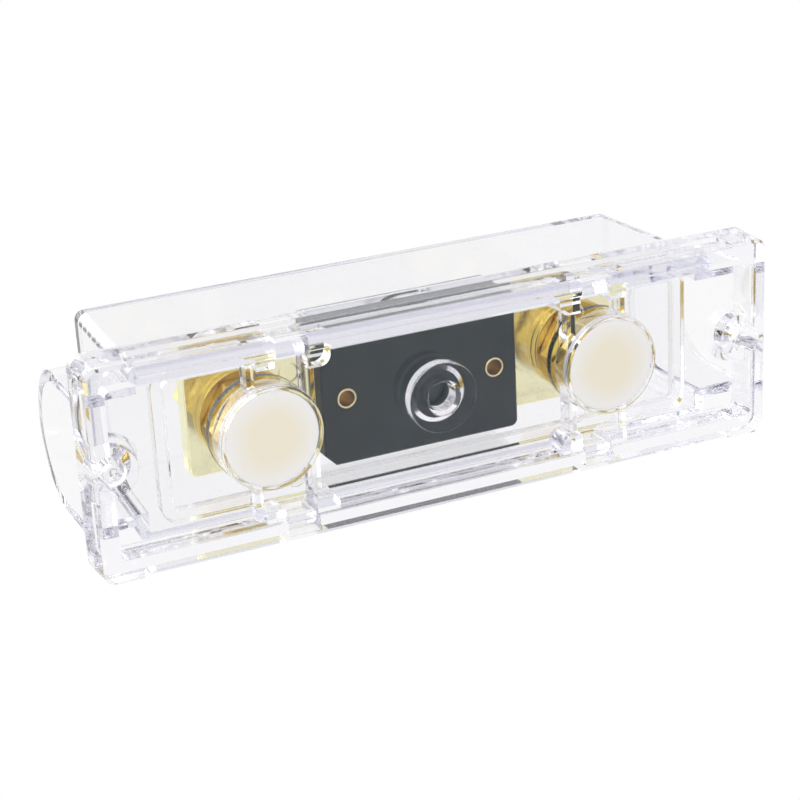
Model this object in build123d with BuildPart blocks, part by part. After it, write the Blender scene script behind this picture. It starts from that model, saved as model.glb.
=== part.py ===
from build123d import *
import os

# Fuse holder with a clear base, a clear lift-off cover and a bolt-down fuse strip.
# Millimetres. X runs along the fuse, Z is up, and the base's rim stands on Z = 0.

# Clear base, a shallow tray that is open below
base_length = 121.0
base_width = 35.4
base_height = 8.0
base_draft = 3.6
base_corner = 2.0
base_rim_chamfer = 0.5
base_top_round = 0.6
floor_thickness = 2.5
side_wall = 3.8
end_wall = 2.9
tray_draft = 1.5
tray_corner = 1.0

# Long sides set back between the proud end blocks
end_block_length = 7.0
side_setback = 0.6
setback_height = 4.8
setback_corner = 1.2

# Screw holes at both ends of the base
screw_inset = 3.55
screw_hole_radius = 2.2
screw_head_radius = 4.0
screw_boss_tip_radius = 4.2
screw_boss_root_radius = 5.4
screw_boss_height = 3.5

# Terminal studs, sized for M8
stud_pitch = 61.5
stud_radius = 4.0
stud_end = 4.0
stud_tip_chamfer = 0.8
stud_hole_gap = 0.1
head_flats = 13.0
head_height = 4.5

# Towers on the base that hold the stud heads
tower_radius = 8.8
tower_stand = 1.5
tower_roof = 1.5
tower_rim_round = 0.4
well_radius = 7.95
potting_depth = 1.4
potting_recess = 0.3
potting_gap = 0.05

# Ribs from the towers to the long walls
outer_rib_offset = 2.65
outer_rib_thickness = 1.4
outer_rib_rim = 3.0
inner_rib_thickness = 1.6
inner_rib_rim = 2.6

# Middle boss under the fuse
boss_radius = 6.1
boss_rim = 3.4
boss_rim_round = 0.25
boss_hole_radius = 2.4
boss_hole_depth = 3.0
boss_mouth = 0.65
boss_dimple_radius = 5.0
boss_dimple_depth = 0.8
boss_dimple_slope = 0.9

# Ejector marks on the floor's underside
ejector_radius = 1.6
ejector_depth = 0.15
ejector_x = 26.0
ejector_y = 9.0

# Clear cover and its half-round cable outlets
cover_shoulder = 2.5
cover_wall = 1.7
cover_seat_gap = 0.05
cover_corner = 1.8
cover_inside_corner = 0.4
cover_top_round = 1.0
cover_end_lean = 1.3
cover_side_lean = 0.2
stud_headroom = 2.9
outlet_length = 8.2
outlet_radius = 11.9
outlet_wall = 1.9
outlet_straight = 10.4

# Ridge on the base that locates the cover
ridge_end_gap = 2.3
ridge_side_gap = 0.6
ridge_thickness = 2.0
ridge_height = 2.0
ridge_corner = 1.0

# Cover latches and the guarded slots that they drop through
latch_x = 27.15
leg_width = 4.9
leg_reach = 7.0
barb_depth = 0.9
barb_height = 2.4
barb_lead = 0.8
slot_gap = 0.3
inner_guard_length = 3.9
inner_guard_reach = 3.1
outer_guard_length = 3.1
outer_guard_reach = 1.9
guard_rim = 0.8
guard_corner = 1.8

# Fuse strip
blade_span = 81.0
blade_side_wall = 1.75
blade_thickness = 3.0
blade_corner = 1.5
blade_edge_round = 0.4
blade_hole_gap = 0.35
neck_length = 12.0
neck_width = 4.0
neck_thickness = 1.2
neck_slot_radius = 0.8

# Fuse housing, two moulded halves round the strip
housing_length = 36.0
housing_side_gap = 1.9
housing_shell = 3.5
housing_corner = 1.2
housing_edge_chamfer = 0.3
housing_key = 2.0
blade_side_gap = 0.1
chamber_length = 16.0
chamber_width = 12.0
chamber_depth = 1.6
window_length = 13.0
window_width = 8.0
window_thickness = 1.0
window_ledge = 1.0
window_gap = 0.05

# Hollow rivets through the housing
rivet_inset = 4.34
rivet_head_radius = 1.75
rivet_head_height = 0.35
rivet_head_round = 0.15
rivet_radius = 1.6
rivet_bore_radius = 1.35
rivet_gap = 0.05

# Nuts and washers on each stud
nut_flats = 13.0
nut_chamfer = 0.5
seat_nut_height = 5.5
clamp_nut_height = 6.5
nut_bore_gap = 0.05
washer_radius = 8.0
washer_thickness = 1.6
washer_bore_gap = 0.2
washer_edge = 0.25
spring_radius = 6.9
spring_thickness = 2.0
spring_split = 1.2
spring_split_angle = 30.0

# Heights of the stack, upwards from the base
floor_underside = base_height - floor_thickness
tower_top = base_height + tower_stand
head_top = tower_top - tower_roof
head_bottom = head_top - head_height
potting_bottom = head_bottom - potting_depth
tower_rim = potting_bottom - potting_recess
seat_nut_top = tower_top + seat_nut_height
blade_bottom = seat_nut_top + washer_thickness
blade_top = blade_bottom + blade_thickness
clamp_washer_top = blade_top + washer_thickness
spring_top = clamp_washer_top + spring_thickness
clamp_nut_top = spring_top + clamp_nut_height
stud_top = clamp_nut_top + stud_end
cover_ceiling = stud_top + stud_headroom
cover_top = cover_ceiling + cover_wall
housing_bottom = blade_bottom - housing_shell
housing_top = blade_top + housing_shell
housing_parting = blade_bottom + blade_thickness / 2

# Places along and across the base
stud_x = stud_pitch / 2
screw_x = base_length / 2 - screw_inset
cover_length = base_length - 2 * outlet_length
cover_width = base_width - 2 * cover_shoulder
cover_inside_length = cover_length - 2 * cover_wall
cover_inside_width = cover_width - 2 * cover_wall
cover_bottom = base_height + cover_seat_gap
ceiling_share = (cover_ceiling - cover_bottom) / (cover_top - cover_bottom)
housing_width = cover_inside_width - 2 * housing_side_gap
blade_width = housing_width - 2 * (blade_side_wall + blade_side_gap)
rivet_x = housing_length / 2 - rivet_inset
leg_outer_y = cover_width / 2
leg_inner_y = leg_outer_y - cover_wall
slot_length = leg_width + 2 * slot_gap
slot_inner_y = leg_inner_y - slot_gap
slot_outer_y = leg_outer_y + barb_depth + slot_gap
slot_start_x = latch_x - slot_length / 2
slot_end_x = latch_x + slot_length / 2
tray_half_width = base_width / 2 - side_wall
outer_rib_x = stud_x + outer_rib_offset
inner_rib_x = slot_start_x - inner_rib_thickness / 2
nut_corner_radius = nut_flats / 3**0.5
key_side = housing_key * 2**0.5
sides = (("left", -stud_x), ("right", stud_x))

os.makedirs("parts", exist_ok=True)


# The tray's hollow, with the towers, ribs, bosses and latch guards left standing in it
with BuildPart() as tray_hollow:
    with BuildSketch():
        RectangleRounded(base_length - 2 * end_wall, 2 * tray_half_width, tray_corner)
    extrude(amount=floor_underside, taper=tray_draft)
    with BuildSketch(Plane.XY.offset(tower_rim)):
        with Locations((-stud_x, 0), (stud_x, 0)):
            Circle(tower_radius)
    extrude(amount=floor_underside, mode=Mode.SUBTRACT)
    with BuildSketch(Plane.XY.offset(boss_rim)):
        Circle(boss_radius)
    extrude(amount=floor_underside, mode=Mode.SUBTRACT)
    with BuildSketch(Plane.XY.offset(outer_rib_rim)):
        with Locations((-outer_rib_x, 0), (outer_rib_x, 0)):
            Rectangle(outer_rib_thickness, base_width)
    extrude(amount=floor_underside, mode=Mode.SUBTRACT)
    with BuildSketch(Plane.XY.offset(inner_rib_rim)):
        with Locations((-inner_rib_x, 0), (inner_rib_x, 0)):
            Rectangle(inner_rib_thickness, base_width)
    extrude(amount=floor_underside, mode=Mode.SUBTRACT)
    with Locations(
        (-screw_x, 0, floor_underside - screw_boss_height),
        (screw_x, 0, floor_underside - screw_boss_height),
    ):
        Cone(
            screw_boss_tip_radius,
            screw_boss_root_radius,
            screw_boss_height,
            align=(Align.CENTER, Align.CENTER, Align.MIN),
            mode=Mode.SUBTRACT,
        )
    with BuildSketch(Plane.XY.offset(guard_rim)) as guards:
        with Locations((slot_start_x, tray_half_width - inner_guard_reach)):
            Rectangle(inner_guard_length, base_width, align=(Align.MAX, Align.MIN))
        fillet(guards.vertices().group_by(Axis.Y)[0].sort_by(Axis.X)[0], guard_corner)
        with Locations((slot_end_x, tray_half_width - outer_guard_reach)):
            Rectangle(outer_guard_length, base_width, align=(Align.MIN, Align.MIN))
        mirror(about=Plane.XZ)
        mirror(about=Plane.YZ)
    extrude(amount=floor_underside, mode=Mode.SUBTRACT)


# Clear moulded base
with BuildPart() as base:
    with BuildSketch():
        RectangleRounded(base_length, base_width, base_corner)
    extrude(amount=base_height, taper=-base_draft)
    chamfer(base.edges().group_by(Axis.Z)[0], base_rim_chamfer)
    fillet(base.edges().group_by(Axis.Z)[-1], base_top_round)
    # Set-back long sides
    with BuildSketch(Plane.XZ.offset(base_width / 2 - side_setback)):
        RectangleRounded(base_length - 2 * end_block_length, 2 * setback_height, setback_corner)
    setback = extrude(amount=base_width, mode=Mode.SUBTRACT)
    mirror(setback, about=Plane.XZ, mode=Mode.SUBTRACT)
    add(tray_hollow.part, mode=Mode.SUBTRACT)
    # Tower tops, stud holes and wells
    with BuildSketch(Plane.XY.offset(base_height)):
        with Locations((-stud_x, 0), (stud_x, 0)):
            Circle(tower_radius)
    extrude(amount=tower_stand)
    with Locations(*(Location((x, 0, tower_rim), (180, 0, 0)) for _, x in sides)):
        CounterBoreHole(stud_radius + stud_hole_gap, well_radius, head_top - tower_rim)
    tower_rims = base.edges().filter_by(GeomType.CIRCLE).filter_by_position(Axis.Z, tower_rim, tower_rim)
    fillet(tower_rims.group_by(SortBy.LENGTH)[-1], tower_rim_round)
    # Screw holes, sunk from above
    with Locations((-screw_x, 0, base_height), (screw_x, 0, base_height)):
        CounterSinkHole(screw_hole_radius, screw_head_radius)
    # Middle boss, hollow from below and dimpled above
    boss_rims = base.edges().filter_by(GeomType.CIRCLE).filter_by_position(Axis.Z, boss_rim, boss_rim)
    fillet(boss_rims.group_by(SortBy.LENGTH)[-1], boss_rim_round)
    with BuildSketch(Plane.XY.offset(boss_rim)):
        Circle(boss_hole_radius)
    extrude(amount=boss_hole_depth, mode=Mode.SUBTRACT)
    with Locations((0, 0, boss_rim)):
        Cone(
            boss_hole_radius + boss_mouth,
            boss_hole_radius,
            boss_mouth,
            align=(Align.CENTER, Align.CENTER, Align.MIN),
            mode=Mode.SUBTRACT,
        )
    with Locations((0, 0, base_height)):
        Cone(
            boss_dimple_radius - boss_dimple_slope,
            boss_dimple_radius,
            boss_dimple_depth,
            align=(Align.CENTER, Align.CENTER, Align.MAX),
            mode=Mode.SUBTRACT,
        )
    # Slots for the cover's latches
    with BuildSketch():
        with GridLocations(2 * latch_x, slot_inner_y + slot_outer_y, 2, 2):
            Rectangle(slot_length, slot_outer_y - slot_inner_y)
    extrude(amount=base_height, mode=Mode.SUBTRACT)
    # Ridge that the cover drops over
    with BuildSketch(Plane.XY.offset(base_height)):
        ridge_length = cover_inside_length - 2 * ridge_end_gap
        ridge_width = cover_inside_width - 2 * ridge_side_gap
        RectangleRounded(ridge_length, ridge_width, ridge_corner + ridge_thickness)
        RectangleRounded(
            ridge_length - 2 * ridge_thickness,
            ridge_width - 2 * ridge_thickness,
            ridge_corner,
            mode=Mode.SUBTRACT,
        )
    extrude(amount=ridge_height)
    # Ejector marks
    with BuildSketch(Plane.XY.offset(floor_underside)):
        with GridLocations(2 * ejector_x, 2 * ejector_y, 2, 2):
            Circle(ejector_radius)
    extrude(amount=ejector_depth, mode=Mode.SUBTRACT)

base.part.label = "base"
export_step(base.part, "parts/base.step")


# Clear cover, open below, with a half-round cable outlet at each end and four latch legs
with BuildPart() as cover:
    with BuildSketch(Plane.XY.offset(cover_bottom)):
        RectangleRounded(cover_length, cover_width, cover_corner)
    with BuildSketch(Plane.XY.offset(cover_top)):
        RectangleRounded(
            cover_length - 2 * cover_end_lean,
            cover_width - 2 * cover_side_lean,
            cover_corner,
        )
    loft()
    fillet(cover.edges().group_by(Axis.Z)[-1], cover_top_round)
    with BuildSketch(Plane.XY.offset(cover_bottom)):
        RectangleRounded(cover_inside_length, cover_inside_width, cover_inside_corner)
    with BuildSketch(Plane.XY.offset(cover_ceiling)):
        RectangleRounded(
            cover_inside_length - 2 * cover_end_lean * ceiling_share,
            cover_inside_width - 2 * cover_side_lean * ceiling_share,
            cover_inside_corner,
        )
    loft(mode=Mode.SUBTRACT)
    # Outlets, from the end walls to flush with the base's ends
    outlet_start = cover_inside_length / 2
    outlet_reach = base_length / 2 - outlet_start
    outlet_centre = cover_bottom + outlet_straight
    for plane in (Plane.YZ.offset(outlet_start), Plane.YZ.offset(-outlet_start - outlet_reach)):
        with BuildSketch(plane):
            with Locations((0, cover_bottom)):
                Rectangle(2 * outlet_radius, outlet_straight, align=(Align.CENTER, Align.MIN))
            with Locations((0, outlet_centre)):
                Circle(outlet_radius)
            with Locations((0, cover_bottom)):
                Rectangle(2 * outlet_radius, outlet_radius, align=(Align.CENTER, Align.MAX), mode=Mode.SUBTRACT)
        extrude(amount=outlet_reach)
    mouth_radius = outlet_radius - outlet_wall
    with BuildSketch(Plane.YZ):
        with Locations((0, cover_bottom)):
            Rectangle(2 * mouth_radius, outlet_straight, align=(Align.CENTER, Align.MIN))
        with Locations((0, outlet_centre)):
            Circle(mouth_radius)
    extrude(amount=base_length / 2, both=True, mode=Mode.SUBTRACT)
    # Latch legs with outward barbs
    leg_tip = base_height - leg_reach
    with BuildSketch(Plane.YZ.offset(latch_x)):
        with BuildLine():
            Polyline(
                (leg_inner_y, cover_bottom),
                (leg_inner_y, leg_tip),
                (leg_outer_y - barb_lead / 2, leg_tip),
                (leg_outer_y + barb_depth, leg_tip + barb_height - barb_lead),
                (leg_outer_y + barb_depth, leg_tip + barb_height - barb_lead / 2),
                (leg_outer_y, leg_tip + barb_height),
                (leg_outer_y, cover_bottom),
                close=True,
            )
        make_face()
    leg = extrude(amount=leg_width / 2, both=True)
    opposite_leg = mirror(leg, about=Plane.XZ)
    mirror((leg, opposite_leg), about=Plane.YZ)

cover.part.label = "cover"
export_step(cover.part, "parts/cover.step")


# Lower half of the fuse housing
with BuildPart() as fuse_body_lower:
    with BuildSketch(Plane.XY.offset(housing_bottom)):
        RectangleRounded(housing_length, housing_width, housing_corner)
        with Locations((-housing_length / 2, housing_width / 2)):
            Rectangle(key_side, key_side, rotation=45, mode=Mode.SUBTRACT)
    extrude(amount=housing_parting - housing_bottom)
    chamfer(fuse_body_lower.edges().group_by(Axis.Z)[0], housing_edge_chamfer)
    with BuildSketch(Plane.XY.offset(blade_bottom)):
        Rectangle(housing_length, blade_width + 2 * blade_side_gap)
    extrude(amount=blade_thickness, mode=Mode.SUBTRACT)
    with BuildSketch(Plane.XY.offset(blade_bottom - chamber_depth)):
        Rectangle(chamber_length, chamber_width)
    extrude(amount=chamber_depth, mode=Mode.SUBTRACT)
    with Locations((-rivet_x, 0, blade_bottom), (rivet_x, 0, blade_bottom)):
        Hole(rivet_radius + rivet_gap)

fuse_body_lower.part.label = "fuse_body_lower"
export_step(fuse_body_lower.part, "parts/fuse_body_lower.step")


# Upper half of the fuse housing, with a windowed chamber over the neck
with BuildPart() as fuse_body_upper:
    with BuildSketch(Plane.XY.offset(housing_parting)):
        RectangleRounded(housing_length, housing_width, housing_corner)
        with Locations((-housing_length / 2, housing_width / 2)):
            Rectangle(key_side, key_side, rotation=45, mode=Mode.SUBTRACT)
    extrude(amount=housing_top - housing_parting)
    chamfer(fuse_body_upper.edges().group_by(Axis.Z)[-1], housing_edge_chamfer)
    with BuildSketch(Plane.XY.offset(housing_parting)):
        Rectangle(housing_length, blade_width + 2 * blade_side_gap)
    extrude(amount=blade_top - housing_parting, mode=Mode.SUBTRACT)
    with BuildSketch(Plane.XY.offset(blade_top)):
        Rectangle(chamber_length, chamber_width)
    extrude(amount=chamber_depth, mode=Mode.SUBTRACT)
    with BuildSketch(Plane.XY.offset(blade_top)):
        Rectangle(window_length - 2 * window_ledge, window_width - 2 * window_ledge)
    extrude(amount=housing_shell, mode=Mode.SUBTRACT)
    with BuildSketch(Plane.XY.offset(housing_top - window_thickness)):
        Rectangle(window_length + 2 * window_gap, window_width + 2 * window_gap)
    extrude(amount=window_thickness, mode=Mode.SUBTRACT)
    with Locations((-rivet_x, 0, blade_top), (rivet_x, 0, blade_top)):
        Hole(rivet_radius + rivet_gap)

fuse_body_upper.part.label = "fuse_body_upper"
export_step(fuse_body_upper.part, "parts/fuse_body_upper.step")


# Clear window in the housing
with BuildPart() as fuse_window:
    with BuildSketch(Plane.XY.offset(housing_top - window_thickness)):
        Rectangle(window_length, window_width)
    extrude(amount=window_thickness)

fuse_window.part.label = "fuse_window"
export_step(fuse_window.part, "parts/fuse_window.step")


# One-piece fuse strip: a blade at each end and a thin neck between them
with BuildPart() as fuse_link:
    with BuildSketch(Plane.XY.offset(blade_bottom)):
        RectangleRounded(blade_span, blade_width, blade_corner)
    extrude(amount=blade_thickness)
    fillet(fuse_link.edges().group_by(Axis.Z)[0], blade_edge_round)
    fillet(fuse_link.edges().group_by(Axis.Z)[-1], blade_edge_round)
    with BuildSketch(Plane.XY.offset(blade_bottom)):
        Rectangle(neck_length, blade_width)
        Rectangle(neck_length, neck_width, mode=Mode.SUBTRACT)
    extrude(amount=blade_thickness, mode=Mode.SUBTRACT)
    with BuildSketch(Plane.XY.offset(blade_bottom)):
        Rectangle(neck_length, neck_width)
    extrude(amount=blade_thickness - neck_thickness, mode=Mode.SUBTRACT)
    with Locations((0, 0, blade_top)):
        Hole(neck_slot_radius)
    with Locations((-stud_x, 0, blade_top), (stud_x, 0, blade_top)):
        Hole(stud_radius + blade_hole_gap)
    with Locations((-rivet_x, 0, blade_top), (rivet_x, 0, blade_top)):
        Hole(rivet_radius + rivet_gap)

fuse_link.part.label = "fuse_link"
export_step(fuse_link.part, "parts/fuse_link.step")


# Hollow rivets
for side, x in (("left", -rivet_x), ("right", rivet_x)):
    with BuildPart() as rivet:
        with BuildSketch(Plane.XY.offset(housing_bottom)):
            with Locations((x, 0)):
                Circle(rivet_radius)
        extrude(amount=housing_top - housing_bottom)
        for head_z in (housing_bottom - rivet_head_height, housing_top):
            with BuildSketch(Plane.XY.offset(head_z)):
                with Locations((x, 0)):
                    Circle(rivet_head_radius)
            extrude(amount=rivet_head_height)
        with Locations((x, 0, housing_top)):
            Hole(rivet_bore_radius)
        fillet(rivet.edges().group_by(Axis.Z)[0], rivet_head_round)
        fillet(rivet.edges().group_by(Axis.Z)[-1], rivet_head_round)
    rivet.part.label = f"rivet_{side}"
    export_step(rivet.part, f"parts/rivet_{side}.step")


# Everything that is stacked on each stud
for side, x in sides:
    stud_axis = Axis((x, 0, 0), (0, 0, 1))

    # Hex-headed stud
    with BuildPart() as stud:
        with BuildSketch(Plane.XY.offset(head_bottom)):
            with Locations((x, 0)):
                RegularPolygon(head_flats / 2, 6, major_radius=False)
        extrude(amount=head_height)
        with BuildSketch(Plane.XY.offset(head_top)):
            with Locations((x, 0)):
                Circle(stud_radius)
        extrude(amount=stud_top - head_top)
        chamfer(stud.edges().group_by(Axis.Z)[-1], stud_tip_chamfer)
    stud.part.label = f"stud_{side}"
    export_step(stud.part, f"parts/stud_{side}.step")

    # Milky disc that closes the well over the head
    with BuildPart() as potting:
        with BuildSketch(Plane.XY.offset(potting_bottom)):
            with Locations((x, 0)):
                Circle(well_radius - potting_gap)
        extrude(amount=potting_depth)
    potting.part.label = f"potting_{side}"
    export_step(potting.part, f"parts/potting_{side}.step")

    # Nuts: a hexagon turned down at its corners
    for name, nut_bottom, nut_height in (
        ("seat_nut", tower_top, seat_nut_height),
        ("clamp_nut", spring_top, clamp_nut_height),
    ):
        with BuildPart() as nut:
            with BuildSketch(Plane.XY.offset(nut_bottom)):
                with Locations((x, 0)):
                    RegularPolygon(nut_flats / 2, 6, major_radius=False)
            extrude(amount=nut_height)
            with BuildSketch(Plane.XZ):
                with BuildLine():
                    Polyline(
                        (x, nut_bottom),
                        (x + nut_flats / 2, nut_bottom),
                        (x + nut_corner_radius, nut_bottom + nut_chamfer),
                        (x + nut_corner_radius, nut_bottom + nut_height - nut_chamfer),
                        (x + nut_flats / 2, nut_bottom + nut_height),
                        (x, nut_bottom + nut_height),
                        close=True,
                    )
                make_face()
            revolve(axis=stud_axis, mode=Mode.INTERSECT)
            with Locations((x, 0, nut_bottom + nut_height)):
                Hole(stud_radius + nut_bore_gap)
        nut.part.label = f"{name}_{side}"
        export_step(nut.part, f"parts/{name}_{side}.step")

    # Flat washers under and over the blade
    for name, washer_bottom in (("seat_washer", seat_nut_top), ("clamp_washer", blade_top)):
        with BuildPart() as washer:
            with BuildSketch(Plane.XY.offset(washer_bottom)):
                with Locations((x, 0)):
                    Circle(washer_radius)
                    Circle(stud_radius + washer_bore_gap, mode=Mode.SUBTRACT)
            extrude(amount=washer_thickness)
            fillet(washer.edges().filter_by(GeomType.CIRCLE).group_by(SortBy.LENGTH)[-1], washer_edge)
        washer.part.label = f"{name}_{side}"
        export_step(washer.part, f"parts/{name}_{side}.step")

    # Split spring washer, clamped flat
    with BuildPart() as spring_washer:
        with BuildSketch(Plane.XY.offset(clamp_washer_top)):
            with Locations((x, 0)):
                Circle(spring_radius)
                Circle(stud_radius + washer_bore_gap, mode=Mode.SUBTRACT)
        extrude(amount=spring_thickness)
        split_middle = (x, clamp_washer_top + spring_thickness / 2)
        with BuildSketch(Plane.XZ):
            with Locations(split_middle):
                Rectangle(spring_split, 2 * spring_thickness, rotation=spring_split_angle)
        extrude(amount=spring_radius, mode=Mode.SUBTRACT)
    spring_washer.part.label = f"spring_washer_{side}"
    export_step(spring_washer.part, f"parts/spring_washer_{side}.step")
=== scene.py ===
"""Finishes and studio stage for a clear bolt-down fuse holder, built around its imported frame."""

import math

import bmesh
import bpy
from bpy.props import FloatProperty, FloatVectorProperty, IntProperty, PointerProperty
from mathutils import Matrix, Vector


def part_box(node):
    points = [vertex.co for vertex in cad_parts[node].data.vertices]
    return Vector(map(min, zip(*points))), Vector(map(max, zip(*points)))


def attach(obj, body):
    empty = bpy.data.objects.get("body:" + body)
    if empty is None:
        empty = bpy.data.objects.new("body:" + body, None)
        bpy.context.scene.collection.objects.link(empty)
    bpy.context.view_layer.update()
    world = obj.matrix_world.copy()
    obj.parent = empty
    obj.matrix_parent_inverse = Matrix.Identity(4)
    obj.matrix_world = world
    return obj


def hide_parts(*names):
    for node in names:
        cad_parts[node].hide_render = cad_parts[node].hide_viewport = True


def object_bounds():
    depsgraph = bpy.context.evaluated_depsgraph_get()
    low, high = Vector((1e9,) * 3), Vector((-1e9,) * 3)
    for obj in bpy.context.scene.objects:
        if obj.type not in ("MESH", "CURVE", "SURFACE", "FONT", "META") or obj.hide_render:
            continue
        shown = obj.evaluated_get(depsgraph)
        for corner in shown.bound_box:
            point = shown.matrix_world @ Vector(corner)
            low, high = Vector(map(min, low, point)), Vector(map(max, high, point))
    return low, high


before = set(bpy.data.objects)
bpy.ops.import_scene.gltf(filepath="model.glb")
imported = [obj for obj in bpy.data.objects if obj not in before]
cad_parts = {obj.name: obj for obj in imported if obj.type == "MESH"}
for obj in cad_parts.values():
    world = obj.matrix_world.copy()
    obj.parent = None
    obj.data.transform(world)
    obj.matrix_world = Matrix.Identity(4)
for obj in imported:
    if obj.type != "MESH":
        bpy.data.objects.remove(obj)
CAD_LOW, CAD_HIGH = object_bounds()

bl_info = {
    "name": "Bolt-Down Fuse Holder",
    "version": (1, 0, 0),
    "blender": (4, 5, 0),
    "location": "View3D > Sidebar > Fuse Holder",
    "description": "Gives a clear bolt-down fuse holder its finishes, threads and studio stage",
    "category": "Object",
}

SIDES = ("left", "right")


def axis_of(node):
    """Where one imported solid's upright axis stands."""
    low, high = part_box(node)
    return (low.x + high.x) / 2, (low.y + high.y) / 2


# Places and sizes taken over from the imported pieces, in metres

STUD_X = axis_of("stud_right")[0]
RIVET_X = axis_of("rivet_right")[0]
RIVET_BORE = 0.00135
CREST_RADIUS = 0.004
BORE_GAP = 0.00005

# Sizes, shares and angles that shape the hex pieces and the thread

COUNTERSINK = 0.0004
HEAD_SHARE = 1.2
LAND_SHARE = 0.97
CREST_SHARE = 0.125
ROOT_SHARE = 0.25
FLANK_SHARE = (1.0 - CREST_SHARE - ROOT_SHARE) / 2
LEAD_IN_SLOPE = 10.0
SHARP_ANGLE = math.radians(32.0)
MERGE_DISTANCE = 1e-7

# Finishes: grain of the metals, the steel's shade, the window's depth and the edge samples

RIVET_SPECK = 0.0009
ROLLING_LINE = 0.0003
STEEL_SHADE = 0.6
WINDOW_DENSITY = 3.0
EDGE_SAMPLES = 4

# Studio: places and sizes of the soft lamps, and how the backdrop and the floor fade

WHITE = (1.0, 1.0, 1.0)
UPPER_SOFTBOX = (-0.45, -0.40, 0.75)
UPPER_SOFTBOX_SIZE = 0.9
LOWER_SOFTBOX = (-0.40, -0.55, -0.45)
LOWER_SOFTBOX_SIZE = 0.7
SENSOR_WIDTH = 36.0
NEAREST_SIGHT = 0.01
FARTHEST_SIGHT = 20.0
CARD_EDGE = 0.90
CARD_MIDDLE = 0.97
HORIZON_BELOW = -0.1
FLOOR_SIDES = 96
FLOOR_FADE_START = 0.12
FLOOR_FADE_END = 0.95
GLASS_BOUNCES = 48
GLOSSY_BOUNCES = 32


# Settings


class ClearPlasticSettings(bpy.types.PropertyGroup):
    """Look of the clear mouldings"""

    surface_tint: FloatVectorProperty(
        name="Surface Tint",
        description="What the face of the clear plastic lets through",
        subtype="COLOR",
        min=0.0,
        max=1.0,
        default=(0.978, 0.978, 0.983),
    )
    cover_tint: FloatVectorProperty(
        name="Cover Tint",
        description="What the face of the slightly darker cover lets through",
        subtype="COLOR",
        min=0.0,
        max=1.0,
        default=(0.956, 0.957, 0.961),
    )
    clouded_tint: FloatVectorProperty(
        name="Clouded Tint",
        description="What the faintly clouded parts of the face let through",
        subtype="COLOR",
        min=0.0,
        max=1.0,
        default=(0.950, 0.950, 0.958),
    )
    depth_tint: FloatVectorProperty(
        name="Depth Tint",
        description="Colour that a long way through the plastic takes",
        subtype="COLOR",
        min=0.0,
        max=1.0,
        default=(0.33, 0.32, 0.61),
    )
    depth_density: FloatProperty(
        name="Depth Density",
        description="How fast the plastic takes its depth tint, for each metre",
        min=0.0,
        default=6.0,
    )
    bend: FloatProperty(
        name="Refraction",
        description="Refractive index of the plastic",
        min=1.0,
        max=2.0,
        default=1.52,
    )
    polish: FloatProperty(
        name="Polished Roughness",
        description="Roughness where the mould was polished best",
        min=0.0,
        max=1.0,
        default=0.015,
    )
    haze: FloatProperty(
        name="Hazed Roughness",
        description="Roughness where the face is faintly hazed",
        min=0.0,
        max=1.0,
        default=0.05,
    )
    mirror_tint: FloatVectorProperty(
        name="Mirror Tint",
        description="Colour of the faint mirror image on the plastic",
        subtype="COLOR",
        min=0.0,
        max=1.0,
        default=(0.60, 0.60, 0.62),
    )
    ripple_size: FloatProperty(
        name="Ripple Size",
        description="Width of the soft ripples that the mould leaves",
        unit="LENGTH",
        min=0.0001,
        default=0.012,
    )
    ripple_height: FloatProperty(
        name="Ripple Height",
        description="Height of the soft ripples",
        unit="LENGTH",
        min=0.0,
        default=0.00004,
    )
    edge_rounding: FloatProperty(
        name="Edge Rounding",
        description="Radius at which light sees the moulding's sharp edges rounded",
        unit="LENGTH",
        min=0.0,
        default=0.0003,
    )


class HousingSettings(bpy.types.PropertyGroup):
    """Look of the dark fuse housing"""

    colour: FloatVectorProperty(
        name="Colour",
        description="Colour of the slate-grey moulding",
        subtype="COLOR",
        min=0.0,
        max=1.0,
        default=(0.004, 0.014, 0.019),
    )
    worn_colour: FloatVectorProperty(
        name="Worn Colour",
        description="Colour where edges are rubbed",
        subtype="COLOR",
        min=0.0,
        max=1.0,
        default=(0.060, 0.075, 0.083),
    )
    grain_size: FloatProperty(
        name="Grain Size",
        description="Width of the grains that the spark-eroded mould leaves",
        unit="LENGTH",
        min=0.00001,
        default=0.0003,
    )
    grain_height: FloatProperty(
        name="Grain Height",
        description="Height of the grains",
        unit="LENGTH",
        min=0.0,
        default=0.0000008,
    )
    edge_width: FloatProperty(
        name="Edge Width",
        description="How far the rubbed look reaches from an edge",
        unit="LENGTH",
        min=0.0,
        default=0.0004,
    )


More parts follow.
